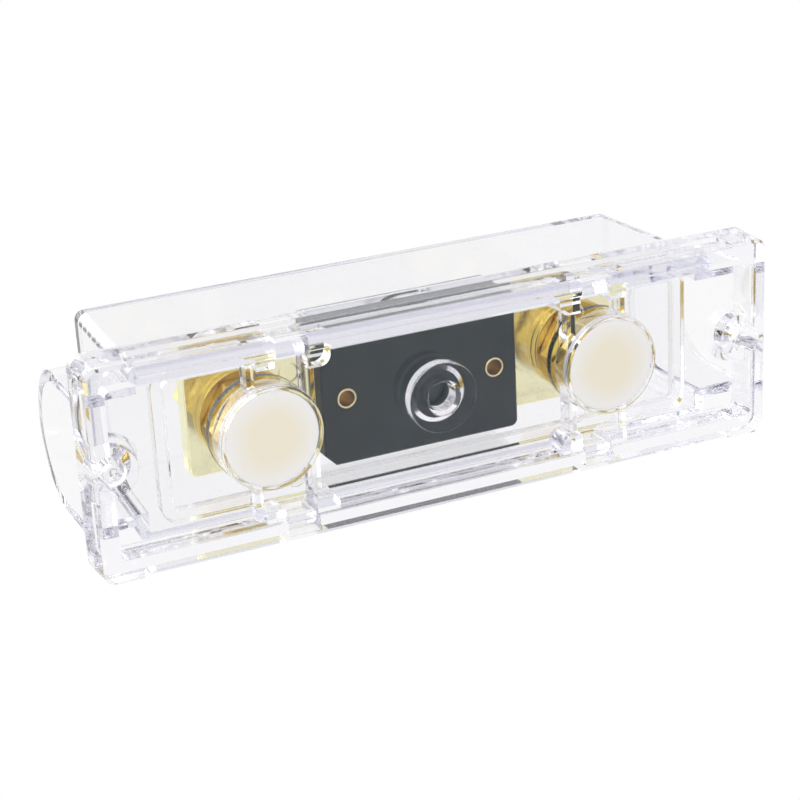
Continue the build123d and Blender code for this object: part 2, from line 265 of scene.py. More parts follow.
class MetalSettings(bpy.types.PropertyGroup):
    """Colours and finish of the metal pieces"""

    strip_colour: FloatVectorProperty(
        name="Fuse Strip",
        description="Colour of the plated fuse strip",
        subtype="COLOR",
        min=0.0,
        max=1.0,
        default=(0.95, 0.91, 0.60),
    )
    strip_shade: FloatVectorProperty(
        name="Fuse Strip Shade",
        description="Colour of the fuse strip where its plating is thinner",
        subtype="COLOR",
        min=0.0,
        max=1.0,
        default=(0.94, 0.88, 0.50),
    )
    brass_colour: FloatVectorProperty(
        name="Brass",
        description="Colour of the studs, nuts and flat washers",
        subtype="COLOR",
        min=0.0,
        max=1.0,
        default=(0.78, 0.60, 0.18),
    )
    brass_shade: FloatVectorProperty(
        name="Brass Shade",
        description="Colour of the brass where it has dulled",
        subtype="COLOR",
        min=0.0,
        max=1.0,
        default=(0.36, 0.235, 0.06),
    )
    rivet_colour: FloatVectorProperty(
        name="Rivet",
        description="Colour of the pale hollow rivets",
        subtype="COLOR",
        min=0.0,
        max=1.0,
        default=(0.68, 0.62, 0.40),
    )
    # Painted shade: the dark brown painted down the rivets' bores, standing in for the shade that
    # falls there.
    painted_bore_shade: FloatVectorProperty(
        name="Rivet Bore",
        description="Colour down the bore of the hollow rivets",
        subtype="COLOR",
        min=0.0,
        max=1.0,
        default=(0.46, 0.315, 0.07),
    )
    steel_colour: FloatVectorProperty(
        name="Spring Steel",
        description="Colour of the spring washers",
        subtype="COLOR",
        min=0.0,
        max=1.0,
        default=(0.56, 0.56, 0.57),
    )
    ring_pitch: FloatProperty(
        name="Turning Pitch",
        description="Distance between the rings that turning leaves",
        unit="LENGTH",
        min=0.00001,
        default=0.0004,
    )


class PottingSettings(bpy.types.PropertyGroup):
    """Look of the milky potting in the wells"""

    middle_colour: FloatVectorProperty(
        name="Middle",
        description="Colour over the brass head",
        subtype="COLOR",
        min=0.0,
        max=1.0,
        default=(0.86, 0.80, 0.65),
    )
    rim_colour: FloatVectorProperty(
        name="Rim",
        description="Colour near the wall of the well",
        subtype="COLOR",
        min=0.0,
        max=1.0,
        default=(0.88, 0.865, 0.865),
    )
    fade_start: FloatProperty(
        name="Fade Start",
        description="Distance from the stud's axis at which the middle colour starts to fade",
        unit="LENGTH",
        min=0.0,
        default=0.0036,
    )
    fade_end: FloatProperty(
        name="Fade End",
        description="Distance from the stud's axis at which the rim colour is reached",
        unit="LENGTH",
        min=0.0,
        default=0.0078,
    )


class ThreadSettings(bpy.types.PropertyGroup):
    """Sizes of the thread and of the hex corners"""

    pitch: FloatProperty(
        name="Pitch",
        description="Distance from one crest to the next",
        unit="LENGTH",
        min=0.0001,
        default=0.00125,
    )
    depth: FloatProperty(
        name="Depth",
        description="Depth of the thread below its crest",
        unit="LENGTH",
        min=0.0,
        default=0.00068,
    )
    plain_length: FloatProperty(
        name="Plain Length",
        description="Length of the shank above the head that has no thread",
        unit="LENGTH",
        min=0.0,
        default=0.002,
    )
    tip_chamfer: FloatProperty(
        name="Tip Chamfer",
        description="Chamfer at the stud's free end",
        unit="LENGTH",
        min=0.0,
        default=0.0008,
    )
    corner_angle: FloatProperty(
        name="Corner Angle",
        description="Slope of the turned chamfer on the hex corners",
        subtype="ANGLE",
        min=0.0,
        default=math.radians(30.0),
    )
    segments: IntProperty(
        name="Segments",
        description="Columns round a stud or a nut, a multiple of twelve",
        min=12,
        default=72,
    )


class StageSettings(bpy.types.PropertyGroup):
    """Camera, lamps and floor"""

    focal_length: FloatProperty(
        name="Focal Length",
        description="Focal length of the camera in millimetres",
        min=1.0,
        default=90.95,
    )
    camera_place: FloatVectorProperty(
        name="Camera Place",
        description="Where the camera stands, below the holder",
        subtype="TRANSLATION",
        unit="LENGTH",
        default=(-0.1319, -0.1189, -0.2755),
    )
    camera_right: FloatVectorProperty(
        name="Camera Right",
        description="Direction of the picture's right side",
        subtype="DIRECTION",
        default=(0.9045, 0.0504, -0.4234),
    )
    camera_down: FloatVectorProperty(
        name="Camera Down",
        description="Direction of the picture's lower side",
        subtype="DIRECTION",
        default=(-0.1952, 0.9318, -0.3061),
    )
    floor_colour: FloatVectorProperty(
        name="Floor",
        description="Colour of the pale floor",
        subtype="COLOR",
        min=0.0,
        max=1.0,
        default=(0.86, 0.86, 0.86),
    )
    floor_radius: FloatProperty(
        name="Floor Radius",
        description="How far the floor reaches before it has faded into the backdrop",
        unit="LENGTH",
        min=0.1,
        default=3.0,
    )
    floor_drop: FloatProperty(
        name="Floor Drop",
        description="Gap between the holder's rim and the floor",
        unit="LENGTH",
        min=0.0,
        default=0.0002,
    )
    sky_top: FloatProperty(
        name="Light From Above",
        description="Strength of the plain light from above",
        min=0.0,
        default=0.78,
    )
    sky_bottom: FloatProperty(
        name="Light From Below",
        description="Strength of the plain light from below",
        min=0.0,
        default=0.78,
    )
    dim_direction: FloatVectorProperty(
        name="Dark Card Direction",
        description="Where the dark card hangs that the flat undersides mirror",
        subtype="DIRECTION",
        default=(0.379, 0.3595, -0.8527),
    )
    dim_share: FloatProperty(
        name="Dark Card",
        description="Brightness of the dark card, as a share of the backdrop's",
        min=0.0,
        max=1.0,
        default=0.94,
    )
    below_share: FloatProperty(
        name="Backdrop Below",
        description="Brightness straight down, as refracted and mirrored sight meets it",
        min=0.0,
        max=1.0,
        default=0.95,
    )
    key_power: FloatProperty(
        name="Upper Softbox",
        description="Power of the softbox above the holder in watts",
        min=0.0,
        default=3.2,
    )
    under_power: FloatProperty(
        name="Lower Softbox",
        description="Power of the softbox beside the camera in watts",
        min=0.0,
        default=2.6,
    )


# Node helpers


def new_finish(name):
    """An empty node material with its output node."""
    finish = bpy.data.materials.new(name)
    finish.use_nodes = True
    finish.node_tree.nodes.clear()
    output = finish.node_tree.nodes.new("ShaderNodeOutputMaterial")
    return finish, finish.node_tree, output


def add_node(tree, kind, inputs=None, **options):
    """A node with its options and its unlinked inputs set."""
    node = tree.nodes.new(kind)
    for name, value in options.items():
        setattr(node, name, value)
    for name, value in (inputs or {}).items():
        node.inputs[name].default_value = value
    return node


def join(tree, source, target):
    """A link from one socket to another."""
    tree.links.new(source, target)


def opaque(colour):
    """A colour with full alpha, as a socket takes it."""
    return (*colour, 1.0)


def object_point(tree):
    """The place in the shared frame, in metres."""
    return add_node(tree, "ShaderNodeTexCoord").outputs["Object"]


def noise(tree, point, size, detail=2.0, stretch=(1.0, 1.0, 1.0)):
    """Noise whose grains are about one size wide, in metres, drawn out along an axis by stretch."""
    mapping = add_node(tree, "ShaderNodeMapping")
    mapping.inputs["Scale"].default_value = [1.0 / (size * part) for part in stretch]
    join(tree, point, mapping.inputs["Vector"])
    texture = add_node(
        tree,
        "ShaderNodeTexNoise",
        {"Scale": 1.0, "Detail": detail, "Roughness": 0.5},
    )
    join(tree, mapping.outputs["Vector"], texture.inputs["Vector"])
    return texture.outputs["Fac"]


def spread(tree, value, low, high, from_low=0.3, from_high=0.7):
    """The value brought from one range to another, and held inside it."""
    node = add_node(
        tree,
        "ShaderNodeMapRange",
        {
            "From Min": from_low,
            "From Max": from_high,
            "To Min": low,
            "To Max": high,
        },
    )
    join(tree, value, node.inputs["Value"])
    return node.outputs["Result"]


def two_tone(tree, factor, first, second):
    """A colour between two, each a socket or a plain colour, by a factor."""
    node = add_node(tree, "ShaderNodeMix", data_type="RGBA")
    places = [socket for socket in node.inputs if socket.type == "RGBA"]
    for place, colour in zip(places, (first, second)):
        if isinstance(colour, bpy.types.NodeSocket):
            join(tree, colour, place)
        else:
            place.default_value = opaque(colour)
    join(tree, factor, node.inputs["Factor"])
    return [socket for socket in node.outputs if socket.type == "RGBA"][0]


def calculate(tree, operation, first, second=None):
    """One operation on two values, each a socket or a number."""
    node = add_node(tree, "ShaderNodeMath", operation=operation)
    for place, value in enumerate((first, second)):
        if value is None:
            continue
        if isinstance(value, (int, float)):
            node.inputs[place].default_value = value
        else:
            join(tree, value, node.inputs[place])
    return node.outputs["Value"]


def largest(tree, first, *others):
    """The largest of several values."""
    for value in others:
        first = calculate(tree, "MAXIMUM", first, value)
    return first


def relief(tree, height, distance, before=None):
    """A bump of one height in metres, on top of an earlier normal."""
    node = add_node(tree, "ShaderNodeBump", {"Strength": 1.0, "Distance": distance})
    join(tree, height, node.inputs["Height"])
    if before is not None:
        join(tree, before, node.inputs["Normal"])
    return node.outputs["Normal"]


def axis_distance(tree, point, axis_x):
    """Distance from the nearer one of two upright axes, at the same way left and right."""
    parts = add_node(tree, "ShaderNodeSeparateXYZ")
    join(tree, point, parts.inputs["Vector"])
    across = calculate(
        tree, "SUBTRACT", calculate(tree, "ABSOLUTE", parts.outputs["X"]), axis_x
    )
    squares = calculate(
        tree,
        "ADD",
        calculate(tree, "MULTIPLY", across, across),
        calculate(tree, "MULTIPLY", parts.outputs["Y"], parts.outputs["Y"]),
    )
    return calculate(tree, "SQRT", squares)


def wear(node, finish):
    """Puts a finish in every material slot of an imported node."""
    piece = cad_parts[node]
    for place in piece.material_slots:
        place.material = finish
    return piece


# Finishes


def clear_plastic(name, settings, face_tint, density_share=1.0):
    """Water-clear moulded plastic with soft ripples, faint haze and a lavender depth."""
    cloud_size = settings.ripple_size * 2.0
    haze_size = settings.ripple_size * 0.5
    finish, tree, output = new_finish(name)
    point = object_point(tree)
    clouds = noise(tree, point, cloud_size, detail=3.0)
    shader = add_node(
        tree,
        "ShaderNodeBsdfPrincipled",
        {
            "Metallic": 0.0,
            "IOR": settings.bend,
            "Transmission Weight": 1.0,
            "Specular Tint": opaque(settings.mirror_tint),
        },
    )
    tint = two_tone(
        tree,
        spread(tree, clouds, 0.0, 1.0),
        face_tint,
        settings.clouded_tint,
    )
    join(tree, tint, shader.inputs["Base Color"])
    hazed = spread(
        tree,
        noise(tree, point, haze_size, detail=4.0),
        settings.polish,
        settings.haze,
    )
    join(tree, hazed, shader.inputs["Roughness"])
    rounded = add_node(
        tree,
        "ShaderNodeBevel",
        {"Radius": settings.edge_rounding},
        samples=EDGE_SAMPLES,
    )
    ripples = relief(
        tree,
        noise(tree, point, settings.ripple_size, detail=1.0),
        settings.ripple_height,
        before=rounded.outputs["Normal"],
    )
    join(tree, ripples, shader.inputs["Normal"])
    lamp_way = add_node(
        tree, "ShaderNodeBsdfTransparent", {"Color": opaque(settings.clouded_tint)}
    )
    rays = add_node(tree, "ShaderNodeLightPath")
    shown = shader.outputs["BSDF"]
    for kind in ("Is Shadow Ray", "Is Diffuse Ray"):
        mix = add_node(tree, "ShaderNodeMixShader")
        join(tree, rays.outputs[kind], mix.inputs["Fac"])
        join(tree, shown, mix.inputs[1])
        join(tree, lamp_way.outputs["BSDF"], mix.inputs[2])
        shown = mix.outputs["Shader"]
    join(tree, shown, output.inputs["Surface"])
    depth = add_node(
        tree,
        "ShaderNodeVolumeAbsorption",
        {
            "Color": opaque(settings.depth_tint),
            "Density": settings.depth_density * density_share,
        },
    )
    join(tree, depth.outputs["Volume"], output.inputs["Volume"])
    return finish


def slate_plastic(settings):
    """Matte slate-grey moulded plastic with a fine eroded grain and rubbed edges."""
    patch_size = settings.grain_size * 8.0
    mottle_size = settings.grain_size * 20.0
    mottle_share = 0.18
    rubbed_fully, rubbed_barely = 0.75, 0.99
    rough_low, rough_high = 0.47, 0.55
    finish, tree, output = new_finish("slate_plastic")
    point = object_point(tree)
    shader = add_node(
        tree,
        "ShaderNodeBsdfPrincipled",
        {"Metallic": 0.0, "IOR": 1.5, "Specular IOR Level": 0.3},
    )
    rounded = add_node(
        tree, "ShaderNodeBevel", {"Radius": settings.edge_width}, samples=EDGE_SAMPLES
    )
    plain = add_node(tree, "ShaderNodeNewGeometry")
    turn = add_node(tree, "ShaderNodeVectorMath", operation="DOT_PRODUCT")
    join(tree, rounded.outputs["Normal"], turn.inputs[0])
    join(tree, plain.outputs["Normal"], turn.inputs[1])
    patches = noise(tree, point, patch_size, detail=4.0)
    edge = calculate(
        tree,
        "MULTIPLY",
        spread(tree, turn.outputs["Value"], 1.0, 0.0, rubbed_fully, rubbed_barely),
        spread(tree, patches, 0.1, 0.9),
    )
    mottle = spread(tree, noise(tree, point, mottle_size), 0.0, mottle_share)
    tone = two_tone(
        tree,
        largest(tree, edge, mottle),
        settings.colour,
        settings.worn_colour,
    )
    join(tree, tone, shader.inputs["Base Color"])
    grain = noise(tree, point, settings.grain_size, detail=1.0)
    join(tree, spread(tree, grain, rough_low, rough_high), shader.inputs["Roughness"])
    join(
        tree,
        relief(tree, grain, settings.grain_height),
        shader.inputs["Normal"],
    )
    join(tree, shader.outputs["BSDF"], output.inputs["Surface"])
    return finish


def rolled_metal(name, colour, shade, line_size, rough_low, rough_high, stretch):
    """Metal sheet with fine lines drawn out along its rolling direction."""
    patch_size = line_size * 30.0
    line_height = line_size * 0.02
    shade_share = 0.55
    finish, tree, output = new_finish(name)
    point = object_point(tree)
    shader = add_node(tree, "ShaderNodeBsdfPrincipled", {"Metallic": 1.0})
    lines = noise(tree, point, line_size, detail=4.0, stretch=stretch)
    patches = noise(tree, point, patch_size, detail=3.0)
    tone = two_tone(tree, spread(tree, patches, 0.0, shade_share), colour, shade)
    join(tree, tone, shader.inputs["Base Color"])
    join(tree, spread(tree, lines, rough_low, rough_high), shader.inputs["Roughness"])
    join(tree, relief(tree, lines, line_height), shader.inputs["Normal"])
    join(tree, shader.outputs["BSDF"], output.inputs["Surface"])
    return finish


def turned_brass(name, colour, shade, ring_pitch, rough_low=0.04, rough_high=0.12):
    """Brass with the rings that a lathe leaves round each stud's axis."""
    scuff_size = ring_pitch * 3.0
    wobble_size = ring_pitch * 6.0
    patch_size = ring_pitch * 12.0
    ring_height = ring_pitch * 0.012
    shade_share = 0.6
    finish, tree, output = new_finish(name)
    point = object_point(tree)
    shader = add_node(tree, "ShaderNodeBsdfPrincipled", {"Metallic": 1.0})
    wobble = calculate(tree, "MULTIPLY", noise(tree, point, wobble_size), ring_pitch)
    radius = calculate(tree, "ADD", axis_distance(tree, point, STUD_X), wobble)
    turns = calculate(tree, "MULTIPLY", radius, 2.0 * math.pi / ring_pitch)
    rings = spread(tree, calculate(tree, "SINE", turns), 0.0, 1.0, -1.0, 1.0)
    patches = noise(tree, point, patch_size, detail=4.0)
    tone = two_tone(tree, spread(tree, patches, 0.0, shade_share), colour, shade)
    join(tree, tone, shader.inputs["Base Color"])
    scuffs = spread(
        tree, noise(tree, point, scuff_size, detail=5.0), rough_low, rough_high
    )
    join(tree, scuffs, shader.inputs["Roughness"])
    join(tree, relief(tree, rings, ring_height), shader.inputs["Normal"])
    join(tree, shader.outputs["BSDF"], output.inputs["Surface"])
    return finish


def rivet_brass(settings):
    """Pale brass with a bright rolled rim, and a dark brown bore that is painted shade."""
    bore_shade_start = RIVET_BORE * 1.01
    bore_shade_end = RIVET_BORE * 1.06
    speck_height = RIVET_SPECK * 0.02
    brass_share = 0.4
    rough_low, rough_high = 0.16, 0.28
    finish, tree, output = new_finish("rivet_brass")
    point = object_point(tree)
    shader = add_node(tree, "ShaderNodeBsdfPrincipled", {"Metallic": 1.0})
    specks = noise(tree, point, RIVET_SPECK, detail=4.0)
    away = axis_distance(tree, point, RIVET_X)
    # Mask of the painted shade: full within the bore's radius, gone a little outside it.
    inside = spread(tree, away, 1.0, 0.0, bore_shade_start, bore_shade_end)
    rim = two_tone(
        tree,
        spread(tree, specks, 0.0, brass_share),
        settings.rivet_colour,
        settings.brass_colour,
    )
    # Painted shade for the bore: dark brown brass, flecked with the dulled brass shade.
    bore = two_tone(
        tree,
        spread(tree, specks, 0.0, 1.0),
        settings.painted_bore_shade,
        settings.brass_shade,
    )
    # The rim keeps the pale brass, and the bore gets the painted shade.
    join(tree, two_tone(tree, inside, rim, bore), shader.inputs["Base Color"])
    join(tree, spread(tree, specks, rough_low, rough_high), shader.inputs["Roughness"])
    join(tree, relief(tree, specks, speck_height), shader.inputs["Normal"])
    join(tree, shader.outputs["BSDF"], output.inputs["Surface"])
    return finish


def milky_potting(settings):
    """Poured milky resin, creamier over the brass head, with a faintly uneven face."""
    drift_size, drift_reach = 0.004, 0.0004
    sheen_size = 0.0015
    rough_low, rough_high = 0.28, 0.42
    wave_size, wave_height = 0.006, 0.00006
    finish, tree, output = new_finish("milky_potting")
    point = object_point(tree)
    shader = add_node(
        tree,
        "ShaderNodeBsdfPrincipled",
        {
            "IOR": 1.5,
            "Subsurface Weight": 0.25,
            "Subsurface Radius": (0.0010, 0.0008, 0.0006),
            "Subsurface Scale": 1.0,
            "Coat Weight": 0.15,
            "Coat Roughness": 0.12,
        },
    )
    drift = spread(tree, noise(tree, point, drift_size), -drift_reach, drift_reach)
    distance = calculate(tree, "ADD", axis_distance(tree, point, STUD_X), drift)
    fade = spread(tree, distance, 0.0, 1.0, settings.fade_start, settings.fade_end)
    tone = two_tone(tree, fade, settings.middle_colour, settings.rim_colour)
    join(tree, tone, shader.inputs["Base Color"])
    join(
        tree,
        spread(tree, noise(tree, point, sheen_size, detail=3.0), rough_low, rough_high),
        shader.inputs["Roughness"],
    )
    join(
        tree,
        relief(tree, noise(tree, point, wave_size, detail=1.0), wave_height),
        shader.inputs["Normal"],
    )
    join(tree, shader.outputs["BSDF"], output.inputs["Surface"])
    return finish


# Meshes


def hex_radius(angle, apothem):
    """Distance from the axis to a hexagon's side, with its corners on the X axis."""
    sector = math.radians(60.0)
    return apothem / math.cos((angle % sector) - sector / 2)


def ring(shape, centre, radii, heights):
    """One closed row of vertices with a radius and a height for each column."""
    count = len(radii)
    return [
        shape.verts.new(
            (
                centre[0] + radius * math.cos(2 * math.pi * step / count),
                centre[1] + radius * math.sin(2 * math.pi * step / count),
                height,
            )
        )
        for step, (radius, height) in enumerate(zip(radii, heights))
    ]


def skin(shape, lower, upper):
    """Faces between two rows of vertices."""
    count = len(lower)
    for step in range(count):
        following = (step + 1) % count
        shape.faces.new(
            (lower[step], lower[following], upper[following], upper[step])
        )


def finished_mesh(shape, name):
    """A new object from a bmesh, closed, with its faces turned outward."""
    bmesh.ops.remove_doubles(shape, verts=shape.verts, dist=MERGE_DISTANCE)
    bmesh.ops.dissolve_degenerate(shape, edges=shape.edges, dist=MERGE_DISTANCE)
    bmesh.ops.recalc_face_normals(shape, faces=shape.faces)
    mesh = bpy.data.meshes.new(name)
    shape.to_mesh(mesh)
    shape.free()
    for face in mesh.polygons:
        face.use_smooth = True
    mesh.set_sharp_from_angle(angle=SHARP_ANGLE)
    piece = bpy.data.objects.new(name, mesh)
    bpy.context.scene.collection.objects.link(piece)
    return piece


def hex_rows(shape, centre, apothem, low, high, settings):
    """The rows of a hexagon whose corners are turned down by a cone at both ends."""
    count = settings.segments
    angles = [2 * math.pi * step / count for step in range(count)]
    radii = [hex_radius(angle, apothem) for angle in angles]
    land = apothem * LAND_SHARE
    fall = [max(0.0, radius - land) * math.tan(settings.corner_angle) for radius in radii]
    return [
        ring(shape, centre, [land] * count, [low] * count),
        ring(shape, centre, radii, [low + drop for drop in fall]),
        ring(shape, centre, radii, [high - drop for drop in fall]),
        ring(shape, centre, [land] * count, [high] * count),
    ]


def head_top(side):
    """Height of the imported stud's head, the top of whatever is wider than its shank."""
    centre = axis_of(f"stud_{side}")
    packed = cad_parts[f"stud_{side}"]
    points = [packed.matrix_world @ vertex.co for vertex in packed.data.vertices]
    return max(
        point.z
        for point in points
        if math.hypot(point.x - centre[0], point.y - centre[1]) > CREST_RADIUS * HEAD_SHARE
    )


def threaded_stud(side, settings):
    """A hex-headed brass stud with a rolled thread, in its packed place."""
    name = f"stud_{side}"
    centre = axis_of(name)
    low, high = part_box(name)
    seat = head_top(side)
    apothem = (high.y - low.y) / 2
    crest = CREST_RADIUS
    count = settings.segments
    shape = bmesh.new()
    rows = hex_rows(shape, centre, apothem, low.z, seat, settings)
    for lower, upper in zip(rows, rows[1:]):
        skin(shape, lower, upper)
    shape.faces.new(reversed(rows[0]))
    last = rows[-1]
    thread_low = seat + settings.plain_length
    for height in (seat, thread_low):
        following = ring(shape, centre, [crest] * count, [height] * count)
        skin(shape, last, following)
        last = following
    root = crest - settings.depth
    corners = (
        (0.0, crest),
        (CREST_SHARE, crest),
        (CREST_SHARE + FLANK_SHARE, root),
        (CREST_SHARE + FLANK_SHARE + ROOT_SHARE, root),
    )
    turns = math.ceil((high.z - thread_low) / settings.pitch) + 1
    for turn in range(turns + 1):
        for phase, corner_radius in corners:
            radii = []
            heights = []
            for step in range(count):
                rise = (turn + phase + step / count - 1.0) * settings.pitch
                height = min(max(thread_low + rise, thread_low), high.z)
                past_run_out = max(0.0, height - thread_low - settings.pitch)
                radius = max(corner_radius, min(crest, crest - past_run_out * LEAD_IN_SLOPE))
                radius = min(radius, crest - settings.tip_chamfer + (high.z - height))
                radii.append(radius)
                heights.append(height)
            following = ring(shape, centre, radii, heights)
            skin(shape, last, following)
            last = following
    shape.faces.new(last)
    return finished_mesh(shape, f"threaded_{name}")


def hex_nut(node, settings):
    """A hex nut with turned corners and a countersunk bore, in its packed place."""
    low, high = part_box(node)
    centre = axis_of(node)
    apothem = (high.y - low.y) / 2
    count = settings.segments
    bore = CREST_RADIUS + BORE_GAP
    mouth = bore + COUNTERSINK
    shape = bmesh.new()
    rows = hex_rows(shape, centre, apothem, low.z, high.z, settings)
    rows.append(ring(shape, centre, [mouth] * count, [high.z] * count))
    rows.append(ring(shape, centre, [bore] * count, [high.z - COUNTERSINK] * count))
    rows.append(ring(shape, centre, [bore] * count, [low.z + COUNTERSINK] * count))
    rows.append(ring(shape, centre, [mouth] * count, [low.z] * count))
    for lower, upper in zip(rows, rows[1:] + rows[:1]):
        skin(shape, lower, upper)
    return finished_mesh(shape, f"turned_{node}")


# Operators


class FUSEHOLDER_OT_clear_mouldings(bpy.types.Operator):
    """Give the base and the cover their clear moulded plastic"""

    bl_idname = "fuseholder.clear_mouldings"
    bl_label = "Clear Mouldings"

    def execute(self, context):
        plastic = context.scene.holder_plastic
        for node, tint in (("base", plastic.surface_tint), ("cover", plastic.cover_tint)):
            wear(node, clear_plastic(f"{node}_plastic", plastic, tint))
        return {"FINISHED"}


class FUSEHOLDER_OT_fuse_window(bpy.types.Operator):
    """Give the fuse's window its clear plastic"""

    bl_idname = "fuseholder.fuse_window"
    bl_label = "Fuse Window"

    def execute(self, context):
        plastic = context.scene.holder_plastic
        finish = clear_plastic(
            "window_plastic", plastic, plastic.surface_tint, WINDOW_DENSITY
        )
        wear("fuse_window", finish)
        return {"FINISHED"}


class FUSEHOLDER_OT_fuse_housing(bpy.types.Operator):
    """Give both halves of the fuse housing their slate plastic"""

    bl_idname = "fuseholder.fuse_housing"
    bl_label = "Fuse Housing"

    def execute(self, context):
        finish = slate_plastic(context.scene.holder_housing)
        for node in ("fuse_body_lower", "fuse_body_upper"):
            wear(node, finish)
        return {"FINISHED"}


class FUSEHOLDER_OT_fuse_strip(bpy.types.Operator):
    """Give the fuse strip its rolled and plated metal"""

    bl_idname = "fuseholder.fuse_strip"
    bl_label = "Fuse Strip"

    def execute(self, context):
        metals = context.scene.holder_metals
        finish = rolled_metal(
            "plated_strip",
            metals.strip_colour,
            metals.strip_shade,
            line_size=ROLLING_LINE,
            rough_low=0.09,
            rough_high=0.19,
            stretch=(1.0, 12.0, 1.0),
        )
        wear("fuse_link", finish)
        return {"FINISHED"}


class FUSEHOLDER_OT_rivets(bpy.types.Operator):
    """Give the hollow rivets their pale brass"""

    bl_idname = "fuseholder.rivets"
    bl_label = "Rivets"

    def execute(self, context):
        finish = rivet_brass(context.scene.holder_metals)
        for side in SIDES:
            wear(f"rivet_{side}", finish)
        return {"FINISHED"}


class FUSEHOLDER_OT_potting(bpy.types.Operator):
    """Give the potting in both wells its milky resin"""

    bl_idname = "fuseholder.potting"
    bl_label = "Potting"

    def execute(self, context):
        finish = milky_potting(context.scene.holder_potting)
        for side in SIDES:
            wear(f"potting_{side}", finish)
        return {"FINISHED"}


class FUSEHOLDER_OT_washers(bpy.types.Operator):
    """Give the flat washers turned brass and the spring washers brushed steel"""

    bl_idname = "fuseholder.washers"
    bl_label = "Washers"

    def execute(self, context):
        metals = context.scene.holder_metals
        brass = turned_brass(
            "washer_brass", metals.brass_colour, metals.brass_shade, metals.ring_pitch
        )
        steel = rolled_metal(
            "spring_steel",
            metals.steel_colour,
            tuple(part * STEEL_SHADE for part in metals.steel_colour),
            line_size=ROLLING_LINE,
            rough_low=0.28,
            rough_high=0.42,
            stretch=(1.0, 1.0, 0.5),
        )
        for side in SIDES:
            for kind in ("seat", "clamp"):
                wear(f"{kind}_washer_{side}", brass)
            wear(f"spring_washer_{side}", steel)
        return {"FINISHED"}


class FUSEHOLDER_OT_hex_nuts(bpy.types.Operator):
    """Put a nut with turned corners in place of each plain one"""

    bl_idname = "fuseholder.hex_nuts"
    bl_label = "Hex Nuts"

    def execute(self, context):
        metals = context.scene.holder_metals
        brass = turned_brass(
            "nut_brass", metals.brass_colour, metals.brass_shade, metals.ring_pitch
        )
        for side in SIDES:
            for kind, body in (("seat", "holder"), ("clamp", f"nut_{side}")):
                node = f"{kind}_nut_{side}"
                piece = hex_nut(node, context.scene.holder_thread)
                piece.data.materials.append(brass)
                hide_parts(node)
                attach(piece, body)
        return {"FINISHED"}


class FUSEHOLDER_OT_threaded_studs(bpy.types.Operator):
    """Put a threaded stud in place of each plain one"""

    bl_idname = "fuseholder.threaded_studs"
    bl_label = "Threaded Studs"

    def execute(self, context):
        metals = context.scene.holder_metals
        brass = turned_brass(
            "stud_brass",
            metals.brass_colour,
            metals.brass_shade,
            metals.ring_pitch,
            rough_low=0.2,
            rough_high=0.36,
        )
        for side in SIDES:
            piece = threaded_stud(side, context.scene.holder_thread)
            piece.data.materials.append(brass)
            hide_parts(f"stud_{side}")
            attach(piece, "holder")
        return {"FINISHED"}


class FUSEHOLDER_OT_stage(bpy.types.Operator):
    """Set the camera, the soft lamps, the backdrop and the pale floor"""

    bl_idname = "fuseholder.stage"
    bl_label = "Stage"

    def execute(self, context):
        settings = context.scene.holder_stage
        place_camera(context.scene, settings)
        light_backdrop(context.scene, settings)
        hang_softbox(
            "upper_softbox", UPPER_SOFTBOX, UPPER_SOFTBOX_SIZE, settings.key_power
        )
        hang_softbox(
            "lower_softbox", LOWER_SOFTBOX, LOWER_SOFTBOX_SIZE, settings.under_power
        )
        lay_floor(settings)
        context.scene.view_settings.view_transform = "Standard"
        tracing = context.scene.cycles
        tracing.caustics_reflective = False
        tracing.caustics_refractive = False
        tracing.max_bounces = GLASS_BOUNCES
        tracing.transmission_bounces = GLASS_BOUNCES
        tracing.transparent_max_bounces = GLASS_BOUNCES
        tracing.glossy_bounces = GLOSSY_BOUNCES
        return {"FINISHED"}


def place_camera(scene, settings):
    """The camera below the holder, looking up at its underside."""
    data = bpy.data.cameras.new("photo_camera")
    data.sensor_width = SENSOR_WIDTH
    data.lens = settings.focal_length
    data.clip_start = NEAREST_SIGHT
    data.clip_end = FARTHEST_SIGHT
    camera = bpy.data.objects.new("photo_camera", data)
    scene.collection.objects.link(camera)
    across = Vector(settings.camera_right).normalized()
    up = -Vector(settings.camera_down)
    up = (up - across * up.dot(across)).normalized()
    back = across.cross(up)
    turn = Matrix((across, up, back)).transposed().to_4x4()
    camera.matrix_world = Matrix.Translation(settings.camera_place) @ turn
    scene.camera = camera


